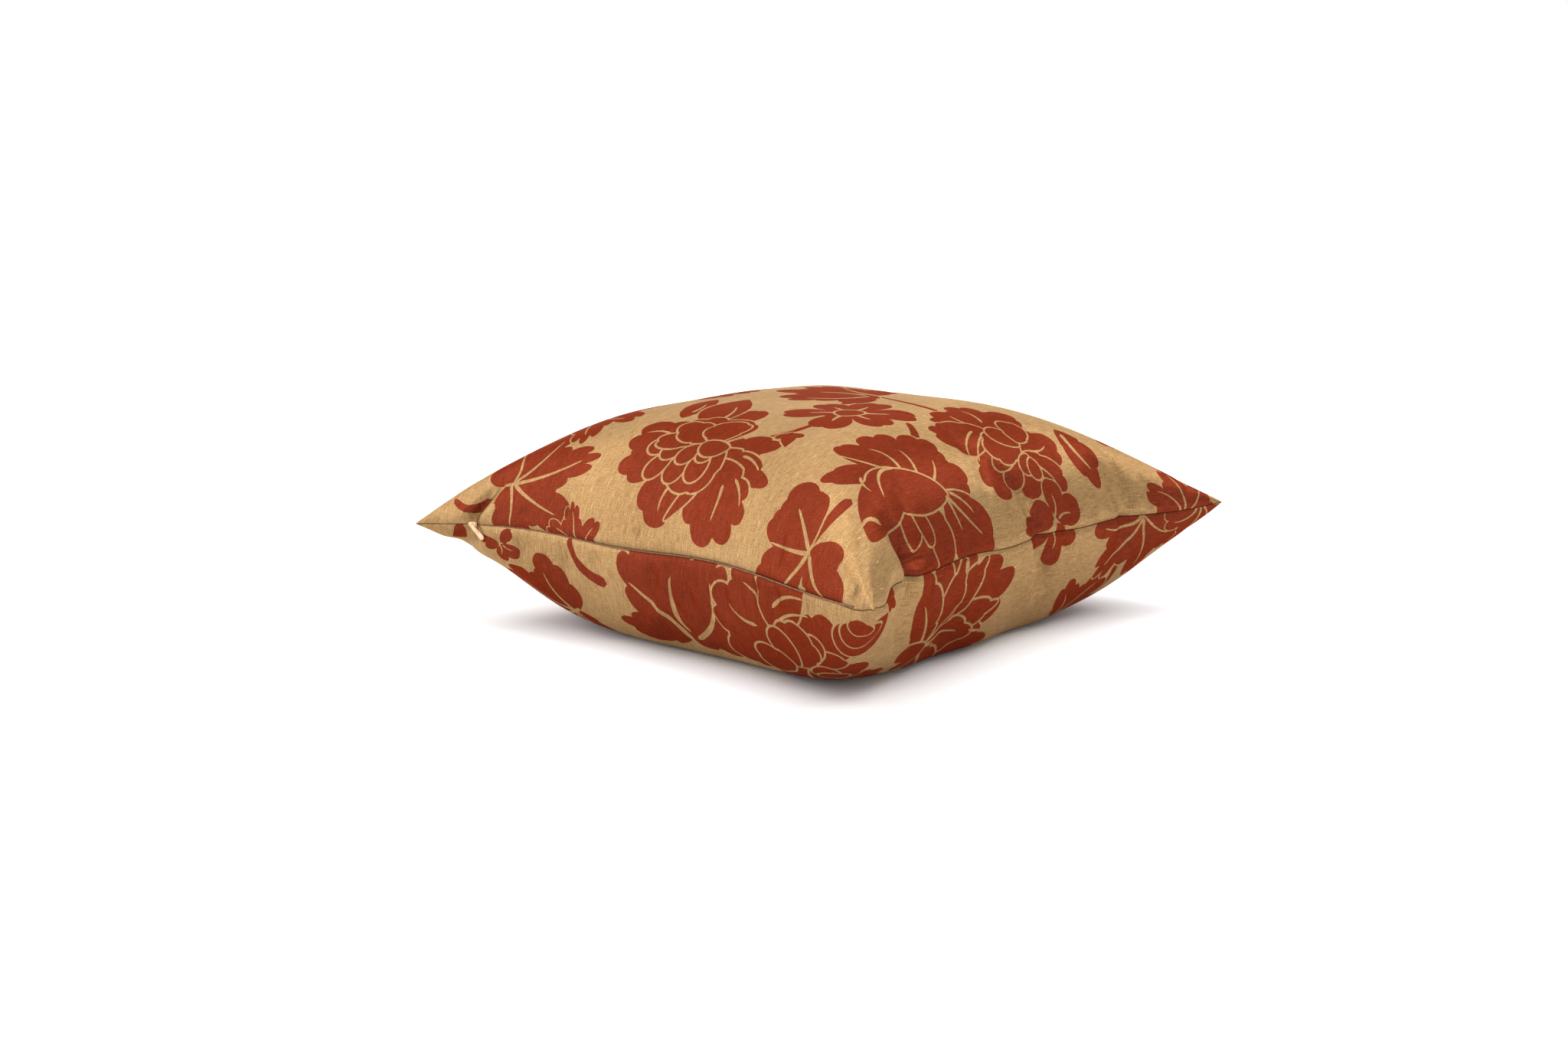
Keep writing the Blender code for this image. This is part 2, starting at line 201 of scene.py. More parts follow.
def read_table(table, along, across):
    """The table's value at a share of cloth along a line, for a line at a shape coordinate across."""
    row = (1 - np.sqrt(1 - np.clip(across, 0, 1))) * (ARC_ROWS - 1)
    column = np.clip(along, 0, 1) * (ARC_STEPS - 1)
    i = np.minimum(row.astype(int), ARC_ROWS - 2)
    j = np.minimum(column.astype(int), ARC_STEPS - 2)
    near = table[i, j] + (table[i, j + 1] - table[i, j]) * (column - j)
    far = table[i + 1, j] + (table[i + 1, j + 1] - table[i + 1, j]) * (column - j)
    return near + (far - near) * (row - i)


TABLES = {panel: arc_table(panel) for panel in (TOP, BOTTOM)}


def filled(u, v, panel):
    """A point of the flat cloth, carried to the smooth filled form with its lengths along u and v kept."""
    along_u = np.abs(u) / HALF
    along_v = np.abs(v) / HALF
    s, t = along_u, along_v
    for _ in range(ARC_ROUNDS):
        s, t = read_table(TABLES[panel], along_u, t), read_table(TABLES[panel], along_v, s)
    return form(np.sign(u) * s, np.sign(v) * t, panel)


def from_seam(u, v):
    """How far a point of the flat cloth is from the nearest side."""
    return HALF - np.maximum(np.abs(u), np.abs(v))


def unit(vectors):
    """The same directions with a length of 1."""
    return vectors / np.linalg.norm(vectors, axis=-1, keepdims=True).clip(NO_LENGTH)


def faced(place, u, v, panel):
    """The direction in which a panel faces away from the filling, where place tells how its points lie."""
    low_u, high_u = np.maximum(u - MM, -HALF), np.minimum(u + MM, HALF)
    low_v, high_v = np.maximum(v - MM, -HALF), np.minimum(v + MM, HALF)
    across = place(high_u, v, panel) - place(low_u, v, panel)
    along = place(u, high_v, panel) - place(u, low_v, panel)
    square = unit(np.cross(across, along))
    return square if panel == TOP else -square


def outward(u, v, panel):
    """The direction away from the filling: square to the cloth, and level where it meets the seam."""
    level = np.stack([(u / HALF) ** SEAM_SIDEWAYS, (v / HALF) ** SEAM_SIDEWAYS, 0 * u], axis=-1)
    turned_in = smooth(from_seam(u, v) / SEAM_TURN)[..., None]
    return unit(faced(filled, u, v, panel) * turned_in + unit(level) * (1 - turned_in))


def swelling(u, v):
    """How far the cloth swells beside the seam, fading towards the tips."""
    depth = from_seam(u, v) / GROOVE_WIDTH
    from_tip = HALF - np.minimum(np.abs(u), np.abs(v))
    fade = GROOVE_AT_TIP + (1 - GROOVE_AT_TIP) * smooth(from_tip / GROOVE_FADE)
    return GROOVE * depth * np.exp(1 - depth) * fade


def beside(fold, u, v):
    """How far points of the cloth are along a fold and across it, and the fold's length."""
    start_u, start_v = fold.u * MM, fold.v * MM
    run_u, run_v = fold.to_u * MM - start_u, fold.to_v * MM - start_v
    length = math.hypot(run_u, run_v)
    along = ((u - start_u) * run_u + (v - start_v) * run_v) / length
    across = ((v - start_v) * run_u - (u - start_u) * run_v) / length
    return along, across, length


def fold_depth(u, v, panel):
    """How deep the folds of one panel press into it, with a low ridge along both sides of each."""
    depth = np.zeros_like(u)
    for fold in FOLDS[panel]:
        along, across, length = beside(fold, u, v)
        spread = (across**2 + np.minimum(along, 0) ** 2) / (fold.width * MM) ** 2
        fading = fold.depth * MM * (1 - smooth(along / length))
        depth = depth + fading * (1 - FOLD_RIDGE * spread) * np.exp(-spread)
    return depth


def pressed(u, v, panel):
    """The depth of the folds, with both panels giving way alike on the seam that they share."""
    nearest_u = np.where(np.abs(u) >= np.abs(v), np.sign(u) * HALF, u)
    nearest_v = np.where(np.abs(u) >= np.abs(v), v, np.sign(v) * HALF)
    top = fold_depth(nearest_u, nearest_v, TOP)
    bottom = fold_depth(nearest_u, nearest_v, BOTTOM)
    own = top if panel == TOP else bottom
    away = smooth(from_seam(u, v) / SEAM_TURN)
    return fold_depth(u, v, panel) + ((top + bottom) / 2 - own) * (1 - away)


def cloth(u, v, panel, lift=0):
    """A point of the flat cloth where it lies on the cushion, with the seam's groove and the folds, and then
    lifted a little further off the filling."""
    moved = (swelling(u, v) - pressed(u, v, panel) + lift)[..., None]
    points = filled(u, v, panel) + outward(u, v, panel) * moved
    points[..., 2] = points[..., 2].clip(0)
    return points


def above_seam(u, stand):
    """A point that stands off the seam of the zip side."""
    where, edge = np.array([u]), np.array([-HALF])
    return cloth(where, edge, TOP)[0] + outward(where, edge, TOP)[0] * stand


def added(name, data):
    """A new object in the scene."""
    thing = bpy.data.objects.new(name, data)
    bpy.context.scene.collection.objects.link(thing)
    return thing


# ---- The puckers: the two flat panels are sewn together and blown up to the cushion's shape, and what the
# ---- cloth does beyond that shape is kept
SHELL_CELLS = 112
SHELL_FRAMES = 20
SHELL_CLOTH = {
    "tension_stiffness": 15,
    "compression_stiffness": 15,
    "shear_stiffness": 5,
    "bending_stiffness": 0.8,
    "use_pressure": True,
    "uniform_pressure_force": 4,
}
EVEN_ROUNDS = 80
MOST_MOVED = 4 * MM
STILL_NEAR_ZIP = 14 * MM
STILL_NEAR_TIP = 30 * MM
STILL_NEAR_FLOOR = 12 * MM


def shell_net():
    """An even net over both panels: its points' numbers by panel, places on the cloth, and faces."""
    side = SHELL_CELLS + 1
    numbers = {TOP: np.arange(side * side).reshape(side, side)}
    numbers[BOTTOM] = numbers[TOP].copy()
    inner = (side - 2) ** 2
    numbers[BOTTOM][1:-1, 1:-1] = (side * side + np.arange(inner)).reshape(side - 2, side - 2)
    faces = []
    for panel, n in numbers.items():
        corners = np.stack([n[:-1, :-1], n[1:, :-1], n[1:, 1:], n[:-1, 1:]], axis=-1).reshape(-1, 4)
        faces.append(corners if panel == TOP else corners[:, ::-1])
    steps = np.linspace(-HALF, HALF, side)
    u, v = np.meshgrid(steps, steps, indexing="ij")
    return numbers, u, v, np.concatenate(faces)


def blown_up(points, flat, faces):
    """Where the sewn panels go when they are blown up, with the lengths of the flat cloth."""
    mesh = bpy.data.meshes.new("shell")
    mesh.from_pydata(points.tolist(), [], faces.tolist())
    shell = added("shell", mesh)
    shell.shape_key_add(name="Basis")
    cut = shell.shape_key_add(name="cut")
    cut.data.foreach_set("co", flat.ravel())
    modifier = shell.modifiers.new("cloth", "CLOTH")
    settings = modifier.settings
    settings.rest_shape_key = cut
    for name, value in SHELL_CLOTH.items():
        setattr(settings, name, value)
    settings.effector_weights.gravity = 0
    modifier.collision_settings.use_collision = False
    modifier.point_cache.frame_end = SHELL_FRAMES
    for step in range(1, SHELL_FRAMES + 1):
        bpy.context.scene.frame_set(step)
    settled = shell.evaluated_get(bpy.context.evaluated_depsgraph_get())
    moved = np.empty(points.size)
    settled.data.vertices.foreach_get("co", moved)
    bpy.context.scene.frame_set(1)
    bpy.data.objects.remove(shell)
    return moved.reshape(-1, 3)


def evened(values, faces):
    """Values spread over the net until only their slow changes are left."""
    ends = np.concatenate([faces[:, [0, 1]], faces[:, [1, 2]], faces[:, [2, 3]], faces[:, [3, 0]]])
    pairs = np.concatenate([ends, ends[:, ::-1]])
    count = np.bincount(pairs[:, 0], minlength=len(values))[:, None]
    for _ in range(EVEN_ROUNDS):
        total = [np.bincount(pairs[:, 0], values[pairs[:, 1], k], len(values)) for k in range(3)]
        values = (values + np.stack(total, axis=-1) / count) / 2
    return values


def puckers():
    """How the cloth moves at each point of the net, by panel. The stiff zip, the tips, and the cloth on the
    floor stay where they are."""
    numbers, u, v, faces = shell_net()
    points = np.zeros((faces.max() + 1, 3))
    flat = np.zeros_like(points)
    for panel, n in numbers.items():
        points[n] = cloth(u, v, panel)
        flat[n] = np.stack([u, v, 0 * u], axis=-1)
    moved = blown_up(points, flat, faces) - points
    moved = moved - evened(moved, faces)
    length = np.linalg.norm(moved, axis=1, keepdims=True).clip(NO_LENGTH)
    moved = moved * np.minimum(1, MOST_MOVED / length)
    tip = HALF * math.sqrt(2) - np.hypot(flat[:, 0], flat[:, 1])
    free = smooth((flat[:, 1] + HALF) / STILL_NEAR_ZIP) * smooth(tip / STILL_NEAR_TIP)
    moved = moved * (free * smooth(points[:, 2] / STILL_NEAR_FLOOR))[:, None]
    return {panel: moved[n] for panel, n in numbers.items()}


def read_net(net, u, v):
    """The net's value at points of the cloth, as a smooth curve through it that keeps to its edges."""
    for axis in (0, 1):
        net = np.moveaxis(net, axis, 0)
        net = np.concatenate([[2 * net[0] - net[1]], net, [2 * net[-1] - net[-2]]])
        net = np.moveaxis(net, 0, axis)
    place = [(w / HALF + 1) / 2 * SHELL_CELLS for w in (u, v)]
    cell = [np.clip(p.astype(int), 0, SHELL_CELLS - 1) for p in place]
    parts = []
    for p, c in zip(place, cell):
        f = p - c
        weights = ((1 - f) ** 3, 3 * f**3 - 6 * f**2 + 4, -3 * f**3 + 3 * f**2 + 3 * f + 1, f**3)
        parts.append([w / 6 for w in weights])
    value = 0
    for i in range(4):
        for j in range(4):
            value = value + net[cell[0] + i, cell[1] + j] * (parts[0][i] * parts[1][j])[..., None]
    return value


PUCKERS = puckers()

# ---- The small folds beside the seams, in millimetres. Those that show in front are placed, and the rest are
# ---- scattered
GATHERS = {
    TOP: [
        Fold(-183, -224, -150, -184, 3.0, 4), Fold(-170, -224, -136, -190, -1.4, 6),
        Fold(-20, -222, -36, -170, 0.9, 4), Fold(-3, -222, -18, -174, 0.9, 4),
        Fold(-62, -222, -77, -176, 1.0, 5), Fold(-92, -222, -104, -184, 0.8, 4),
        Fold(32, -222, 24, -176, 0.8, 4), Fold(62, -222, 58, -182, 0.7, 4),
        Fold(222, 70, 176, 88, 2.0, 5), Fold(222, 97, 178, 102, 1.6, 4),
        Fold(222, 117, 178, 122, 1.8, 4), Fold(226, 139, 146, 130, 4.6, 3.2),
        Fold(226, 150, 160, 145, -1.4, 6), Fold(226, 160, 176, 156, 2.2, 3.4),
        Fold(226, 31, 160, 4, 4.8, 3.4), Fold(226, 20, 172, -4, -1.6, 6),
        Fold(226, -134, 158, -142, 7.5, 4.0), Fold(224, -160, 160, -158, -2.4, 9),
        Fold(216, -144, 211, -86, 9.0, 6), Fold(225, -62, 196, -66, 1.4, 4),
        Fold(225, -92, 200, -84, 1.6, 4),
    ],
    BOTTOM: [
        Fold(-129, -222, -137, -170, 2.6, 4), Fold(-91, -222, -87, -166, 2.4, 4),
        Fold(-112, -222, -108, -172, -1.6, 5), Fold(-60, -222, -52, -182, 1.6, 4),
        Fold(-76, -222, -72, -178, -1.2, 4), Fold(97, -225, 92, -192, 2.0, 3),
        Fold(119, -225, 121, -198, 1.6, 3), Fold(150, -225, 146, -190, 1.4, 4),
        Fold(222, 28, 160, 38, 2.8, 5), Fold(222, 45, 172, 54, -1.8, 6),
        Fold(222, 62, 174, 70, 1.8, 5), Fold(222, -20, 184, -26, 1.4, 5),
        Fold(222, -100, 186, -104, 1.6, 4), Fold(222, 152, 190, 146, 1.6, 5),
    ],
}
GATHER_SEED = 5
GATHERS_A_SIDE = 13
GATHERS_REACH = 190
GATHERS_START = -222
GATHER_UNEVEN = 10
GATHER_LENGTHS = (25, 70)
GATHER_SLANT = 0.3
GATHER_DEPTHS = (0.3, 1.3)
GATHER_WIDTHS = (3, 6)
CLEAR_OF_FRONT_TIP = 80
GATHER_RISE = 0.25
STILL_NEAR_SEAM = 5 * MM


def turned(outline, degrees, at=(0, 0), size=1.0):
    """An outline turned, sized and moved to its place."""
    angle = math.radians(degrees)
    x, y = np.asarray(outline, float).T
    across = x * math.cos(angle) - y * math.sin(angle)
    along = x * math.sin(angle) + y * math.cos(angle)
    return size * np.stack([across, along], axis=-1) + np.asarray(at, float)


def scatter_gathers():
    """Adds small folds that run inwards from each side at uneven places, lengths and slants."""
    random = np.random.default_rng(GATHER_SEED)
    for panel in (TOP, BOTTOM):
        for turn in range(4):
            for place in np.linspace(-GATHERS_REACH, GATHERS_REACH, GATHERS_A_SIDE):
                across = place + random.uniform(-GATHER_UNEVEN, GATHER_UNEVEN)
                length = random.uniform(*GATHER_LENGTHS)
                across_to = across + random.uniform(-GATHER_SLANT, GATHER_SLANT) * length
                ends = turned([(across, GATHERS_START), (across_to, length + GATHERS_START)], 90 * turn)
                sizes = random.uniform(*GATHER_DEPTHS), random.uniform(*GATHER_WIDTHS)
                if math.hypot(ends[0, 0] - HALF / MM, ends[0, 1] + HALF / MM) > CLEAR_OF_FRONT_TIP:
                    GATHERS[panel].append(Fold(*ends.ravel(), *sizes))


scatter_gathers()

# Where the cloth gives way round the nearest tip, how far round and how far, in millimetres
Tuck = namedtuple("Tuck", "u v radius x y z")
TUCKS = (
    Tuck(225, -225, 18, -1.2, -1.0, 1.5),
    Tuck(225, -188, 30, 2.3, 2.0, -4.0),
    Tuck(200, -225, 20, 0, 0, -1.5),
)


def tucked(u, v):
    """How the cloth gives way round the tip nearest the camera, which leaves it broad and round."""
    moved = np.zeros((*np.shape(u), 3))
    for tuck in TUCKS:
        away = np.hypot(u / MM - tuck.u, v / MM - tuck.v)
        moved += (1 - smooth(away / tuck.radius))[..., None] * np.array([tuck.x, tuck.y, tuck.z]) * MM
    return moved


def gathered(u, v, panel):
    """How deep the small folds press into the cloth. They rise from nothing at the seam and fade inwards."""
    depth = np.zeros_like(u)
    for fold in GATHERS[panel]:
        along, across, length = beside(fold, u, v)
        fading = smooth(along / length / GATHER_RISE) * (1 - smooth(along / length))
        depth = depth + fold.depth * MM * fading * np.exp(-((across / (fold.width * MM)) ** 2))
    return depth * smooth(from_seam(u, v) / STILL_NEAR_SEAM)


def settled(u, v, panel):
    """A point of the flat cloth where it comes to lie, with its puckers and small folds."""
    points = cloth(u, v, panel, -gathered(u, v, panel)) + read_net(PUCKERS[panel], u, v) + tucked(u, v)
    points[..., 2] = points[..., 2].clip(0)
    return points


# ---- The floral pattern, drawn flat in millimetres. Each motif is a list of shapes painted in order
GOLD, RED = 0, 1
MARGIN = 1.7
STEP = 1.5
PETAL_FEWEST, VEIN_FEWEST = 20, 8
PETAL_SHARPNESS = 0.4
PETAL_CENTRE = 0.4
LOBED_PART = 0.66
LOBES_UNEVEN = 0.05
NOTCH_SHARPNESS = 2.6
VEIN_ENDS = 12
Petal = namedtuple("Petal", "x y turn length width lobes notch point bend", defaults=(1, 0, 0, 0))
Vein = namedtuple("Vein", "x y by_x by_y to_x to_y width")
Shape = namedtuple("Shape", "colour outline")


def petal(part):
    """A rounded or pointed petal that leans by its bend. Its far edge is cut into uneven lobes."""
    count = max(PETAL_FEWEST, int((part.length + part.width) * 1.7 / STEP))
    turn = np.linspace(0, math.tau, count, endpoint=False)
    y = (1 - np.cos(turn)) / 2
    x = np.sin(turn) / 2 * np.sin(turn / 2) ** PETAL_SHARPNESS * (1 - part.point * y**2)
    reach = ((turn - math.pi) / (LOBED_PART * math.pi)).clip(-1, 1)
    place = ((reach + 1) / 2 + LOBES_UNEVEN * np.sin(2.6 * reach + part.turn)) * part.lobes
    where = 2 * (place - np.floor(place)) - 1
    cut = 1 - part.notch * np.abs(where) ** NOTCH_SHARPNESS * (np.abs(reach) < 1) * (part.lobes > 1)
    y = PETAL_CENTRE + (y - PETAL_CENTRE) * cut
    leaning = x * cut * part.width - part.bend * part.length * y**2
    return turned(np.stack([leaning, y * part.length], axis=-1), part.turn, (part.x, part.y))


def vein(part, root=1.0, end=0.35):
    """A curved line with rounded ends, that swells or thins from its root to its end."""
    a, b, c = np.array([[part.x, part.y], [part.by_x, part.by_y], [part.to_x, part.to_y]], float)
    t = np.linspace(0, 1, max(VEIN_FEWEST, int(np.linalg.norm(c - a) / STEP / 1.5)))[:, None]
    line = a * (1 - t) ** 2 + 2 * b * t * (1 - t) + c * t**2
    ahead = unit(np.gradient(line, axis=0))
    side = np.stack([-ahead[:, 1], ahead[:, 0]], axis=-1)
    half = part.width / 2 * (root + (end - root) * t) * (1 - (2 * t - 1) ** VEIN_ENDS) ** 0.5
    return np.concatenate([line + side * half, (line - side * half)[::-1]])


def grown(outline, gap):
    """An outline moved outwards by a gap."""
    after, before = np.roll(outline, -1, axis=0), np.roll(outline, 1, axis=0)
    ahead = unit(after - before)
    side = np.stack([ahead[:, 1], -ahead[:, 0]], axis=-1)
    area = np.sum(outline[:, 0] * after[:, 1] - after[:, 0] * outline[:, 1])
    return outline + side * gap * np.sign(area)


def bloom(*parts):
    """Red petals, each with a gold margin that parts it from those behind, and gold veins. A plain row is a
    petal's columns."""
    shapes = []
    for part in parts:
        if isinstance(part, Vein):
            shapes.append(Shape(GOLD, vein(part)))
        else:
            outline = petal(Petal(*part))
            shapes += [Shape(GOLD, grown(outline, MARGIN)), Shape(RED, outline)]
    return shapes


def joined(*parts):
    """Red petals or fingers that run into each other inside one gold margin, and gold veins over them."""
    petals = [petal(Petal(*part)) for part in parts if not isinstance(part, Vein)]
    veins = [Shape(GOLD, vein(part)) for part in parts if isinstance(part, Vein)]
    margins = [Shape(GOLD, grown(outline, MARGIN)) for outline in petals]
    return margins + [Shape(RED, outline) for outline in petals] + veins


def hanging_peony():
    """Two buds above a scalloped heart, and broad lobed petals below."""
    return bloom(
        (-48, 30, 16, 62, 28, 2, 0.06, 0.7, 0.05), (0, 24, -2, 44, 34, 2, 0.12, 0.2, 0.1),
        (-16, 24, 26, 78, 48, 1, 0, 0.75, -0.08),
        Vein(-16, 40, -18, 54, -30, 68, 3), Vein(-50, 42, -50, 54, -58, 66, 2.6),
    ) + joined(
        (-6, -4, 80, 62, 54, 4, 0.2), (-14, -8, 120, 50, 42, 3, 0.18), (0, -2, 38, 46, 50, 4, 0.14),
        (8, 0, 4, 40, 50, 3, 0.12), Vein(-34, 4, -46, 12, -58, 4, 2.8),
    ) + bloom(
        (18, -2, -84, 50, 36, 3, 0.18, 0.2, 0.1), (18, -6, -116, 68, 38, 3, 0.2, 0.4, 0.12),
        (-2, -20, 168, 52, 50, 3, 0.18, 0, 0.05), (26, -14, -152, 72, 66, 5, 0.18),
        (26, -20, 164, 50, 15, 1, 0, 0.6, -0.2), (24, -4, 150, 46, 50, 3, 0.1, 0, -0.1),
        (-6, -8, 176, 30, 20), (-20, -10, 160, 28, 18), (8, -6, 190, 30, 20),
        (-26, -2, 120, 20, 18), (-14, 0, 142, 22, 18), (-2, 0, 162, 22, 18),
        (10, 2, 182, 20, 17), (-4, 4, 100, 40, 20, 2, 0.14), (2, 4, 66, 42, 30, 3, 0.16),
        (12, 4, 22, 32, 40, 3, 0.14), (26, -2, 104, 26, 20, 1, 0, 0, -0.2),
        Vein(44, -34, 48, -46, 46, -62, 3), Vein(52, -28, 64, -36, 68, -48, 2.6),
        Vein(-4, -40, -8, -50, -6, -60, 2.6), Vein(44, -8, 56, -8, 68, -18, 3),
    )


def cupped_peony():
    """A deep cup lying on its side, its tip curled, with a ruff over it and petals round its mouth."""
    return joined(
        (6, 24, 6, 44, 44, 3, 0.14), (-2, 18, 44, 56, 50, 4, 0.14), (-6, 12, 76, 56, 50, 4, 0.16),
        (0, 6, 102, 64, 34, 2, 0.1, 0.2), (-6, 2, 146, 60, 30, 3, 0.12, 0.2),
        Vein(-10, 6, -26, -10, -50, -16, 3.2), Vein(-14, 12, -28, 18, -44, 8, 2.8),
        Vein(-6, 22, -20, 30, -32, 28, 2.6), Vein(4, 30, -4, 42, -14, 46, 2.6),
    ) + bloom(
        (8, -18, -92, 62, 62, 2, 0.08), (14, 34, -66, 64, 60, 3, 0.1, 0.1),
        (16, 12, -88, 54, 30, 2, 0.1, 0.3), (10, -8, -116, 38, 22), (12, -4, -84, 34, 15),
    ) + joined(
        (16, 36, 158, 70, 46), (-12, 8, 203, 88, 46, 1, 0, 0.5, 0.06),
        Vein(-18, 8, -24, -14, 4, -26, 3.6), Vein(-20, -26, -14, -34, -4, -32, 2.8),
        Vein(22, -48, 8, -56, 16, -68, 5), Vein(16, 34, 36, 44, 50, 60, 3.2),
        Vein(16, 34, 30, 34, 44, 38, 3), Vein(14, 38, 24, 52, 34, 56, 3),
    )


def open_peony():
    """A broad flower seen a little from below, its heart off to one side."""
    return joined(
        (-2, 0, 76, 64, 56, 4, 0.16), (-4, 6, 40, 56, 44, 3, 0.14), (-6, -4, 118, 56, 50, 4, 0.16),
        Vein(-22, 2, -38, 12, -50, 8, 3), Vein(-16, -12, -30, -20, -44, -16, 3),
    ) + bloom(
        (10, -2, -142, 66, 50, 4, 0.14), (-4, -6, 164, 62, 56, 4, 0.14),
        (12, 8, -10, 54, 52, 4, 0.14), (22, 10, -56, 52, 46, 4, 0.14), (20, 2, -98, 46, 42, 3, 0.16),
        Vein(-14, -22, -10, -40, 10, -50, 3), Vein(-6, -18, 0, -34, 18, -44, 2.6),
        (22, -8, -118, 34, 22, 2, 0.12), (18, -4, -160, 30, 20), (16, 10, 168, 40, 44, 3, 0.14),
        (24, 12, -130, 24, 18), (28, 14, -104, 22, 17), (14, 12, 128, 32, 26),
        (10, 14, 56, 36, 32, 2, 0.12), Vein(20, 18, 24, 34, 16, 46, 3), Vein(36, 18, 46, 30, 54, 32, 2.8),
    )


def fanned_flower():
    """A flower seen from its side, its petals fanning up from the cup."""
    return bloom(
        (0, 0, 4, 92, 62, 5, 0.2, 0.2), (0, 0, -40, 88, 56, 5, 0.2, 0.2),
        (0, 0, 44, 84, 52, 4, 0.2, 0.2), (2, 8, 18, 68, 30, 3, 0.14, 0.6),
        (0, 4, -58, 78, 28, 4, 0.16, 0.5), (4, 8, -12, 64, 30, 3, 0.14, 0.6),
        (0, 4, -34, 58, 30, 3, 0.16, 0.6), (0, 2, 34, 54, 40, 3, 0.16, 0.3),
        (0, 2, 78, 58, 34, 3, 0.18, 0.3), (0, 2, -78, 58, 34, 3, 0.18, 0.3),
        Vein(0, 6, -6, 26, -18, 36, 3.4), Vein(2, 6, 8, 26, 8, 40, 3.2),
        Vein(2, 2, 18, 10, 36, 6, 3.2), Vein(-2, 2, -18, 8, -36, 6, 3.2),
        Vein(22, 46, 36, 54, 42, 68, 2.8), Vein(-24, 46, -34, 54, -38, 66, 2.8),
    ) + joined((0, 8, 160, 26, 14), (0, 8, -160, 26, 14))


def small_flower():
    """Six notched petals round a button."""
    shapes = []
    for k in range(6):
        turn = 60 * k + 7 * math.sin(5 * k)
        size = 1 + 0.08 * math.sin(4 * k + 1)
        leaf = petal(Petal(0, 4, 0, 45, 35, 2, 0.16))
        line = vein(Vein(0, 9, 2, 18, 0, 29, 4))
        shapes.append(Shape(RED, turned(leaf, turn, size=size)))
        shapes.append(Shape(GOLD, turned(line, turn, size=size)))
    button = petal(Petal(0, -12, 0, 24, 24))
    return shapes + [Shape(GOLD, grown(button, 2.2)), Shape(RED, button)]


def lobed_leaf():
    """A vine leaf: five rounded fingers, and veins that curve out from its root."""
    return joined(
        (0, -6, 6, 96, 56, 5, 0.22, 0.25), (2, -2, 48, 80, 48, 4, 0.22, 0.15),
        (-2, -2, -40, 84, 52, 4, 0.22, 0.15), (0, -2, 92, 60, 44, 3, 0.2),
        (0, -2, -88, 62, 46, 3, 0.2), (0, 2, 134, 34, 30, 2, 0.14),
        Vein(0, -8, 8, 34, -8, 72, 4.4), Vein(0, 2, -10, 34, -40, 42, 3.8),
        Vein(2, 4, 22, 18, 40, 48, 3.8), Vein(0, 2, -20, 12, -42, 0, 3.4), Vein(0, 0, 22, 6, 42, -4, 3.4),
    )


def falling_leaf():
    """A broad leaf of three long fingers that hang from its root, parted by round-ended gaps."""
    return joined(
        (0, -4, 30, 78, 54, 4, 0.2, 0.1), (0, -4, -30, 78, 54, 4, 0.2, 0.1),
        (0, -4, -2, 84, 44, 3, 0.18), (0, -2, 82, 56, 34, 3, 0.2, 0.3), (0, -2, -82, 56, 34, 3, 0.2, 0.3),
        Vein(0, -6, 14, 20, 40, 36, 4.2), Vein(-2, 4, 10, 22, 2, 44, 5), Vein(-6, 0, -34, 14, -32, 44, 4.6),
    )


def clover_leaf():
    """Rounded leaves in threes round a stem's end."""
    return joined(
        (0, 0, 40, 56, 44, 3, 0.14), (-2, 2, 16, 42, 22, 2, 0.1), (0, 0, 76, 48, 34, 2, 0.12),
        (0, -4, 128, 58, 46, 3, 0.14), (2, -4, -136, 56, 44, 3, 0.14), (2, -2, -92, 34, 26, 2, 0.1),
        Vein(0, -2, -10, 12, -24, 24, 4), Vein(0, -4, -14, -6, -40, -4, 3.6),
        Vein(0, -4, -6, -18, -22, -30, 4), Vein(2, -4, 8, -20, 26, -30, 4),
    )


def single_leaf():
    """One long finger of a leaf with its vein."""
    return joined((0, -4, 4, 60, 34, 3, 0.18, 0.25), Vein(0, 2, 6, 20, -4, 40, 4))


def sprig():
    """Round petals in a spray: one up, one to the right, and two small ones to the left."""
    return joined(
        (0, 2, 84, 42, 34, 2, 0.08), (0, 0, 14, 46, 38, 2, 0.1), (2, -4, 146, 34, 24),
        (4, -6, 178, 52, 22, 2, 0.14), (6, 0, -58, 40, 28, 2, 0.1),
        Vein(0, -2, -12, 8, -24, 2, 3.4), Vein(2, 4, -6, 18, -2, 30, 3.2),
    )


def nodding_cup():
    """A small round cup of nested petals, and a leaf beside it."""
    return bloom(
        (-32, 46, 170, 38, 20, 3, 0.2, 0.3), (0, 48, 180, 50, 62), (5, 48, 177, 36, 44),
        (10, 50, 172, 20, 26, 2, 0.1),
    )


def bud():
    """A pointed bud in its cup."""
    return joined((0, -4, 0, 30, 20, 1, 0, 0.8), (0, 0, 62, 15, 11), (0, 0, -62, 15, 11))


